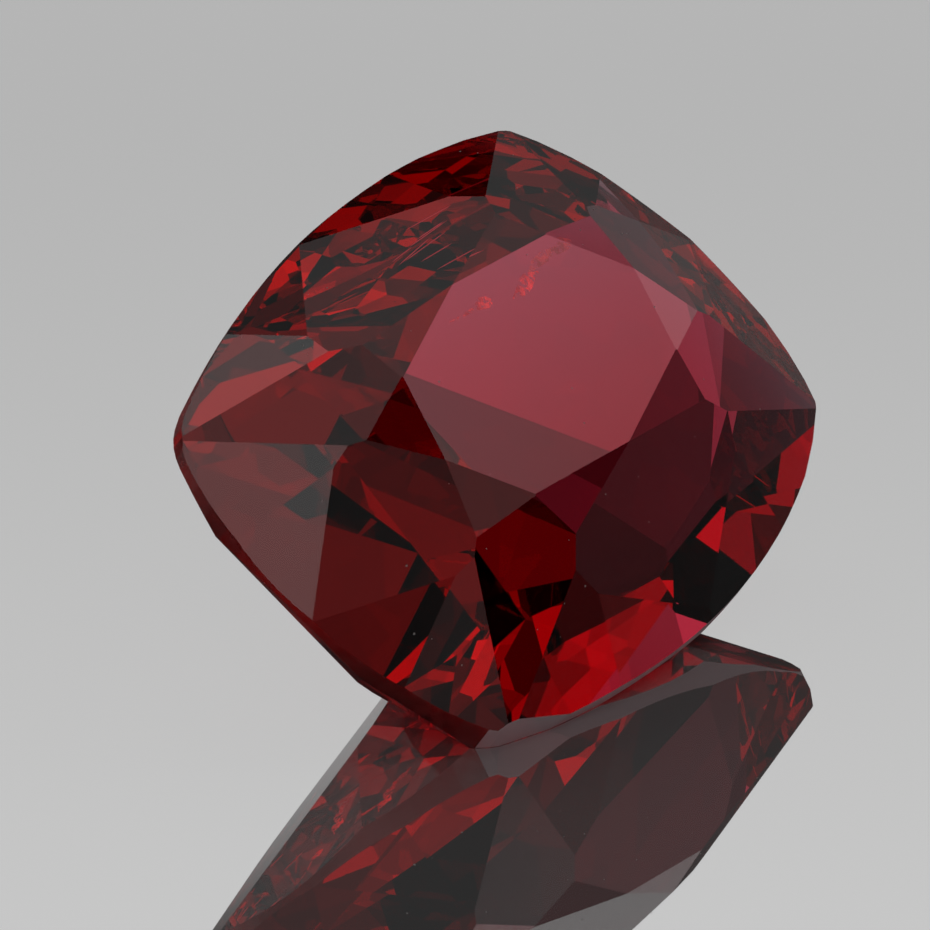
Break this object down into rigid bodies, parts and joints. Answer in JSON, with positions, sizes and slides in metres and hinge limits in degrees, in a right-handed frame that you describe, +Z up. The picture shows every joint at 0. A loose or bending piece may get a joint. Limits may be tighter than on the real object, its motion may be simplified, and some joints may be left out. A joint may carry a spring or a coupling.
{
  "type": "faceted gemstone",
  "caption": "Cushion-cut red spinel with a table, a faceted crown, a thin girdle and a deep pavilion, lying on one pavilion facet.",
  "frame": {"origin": "on the surface that the stone rests on, under the middle of its bounding box", "axes": "+Z up, +X to the right and +Y away from the viewer, with the table facing the viewer, up and to the right"},
  "size_m": [0.0064, 0.007, 0.0044],
  "materials": {
    "spinel": "polished clear crystal"
  },
  "bodies": {
    "root": {"spinel": "spinel"}
  },
  "joints": []
}
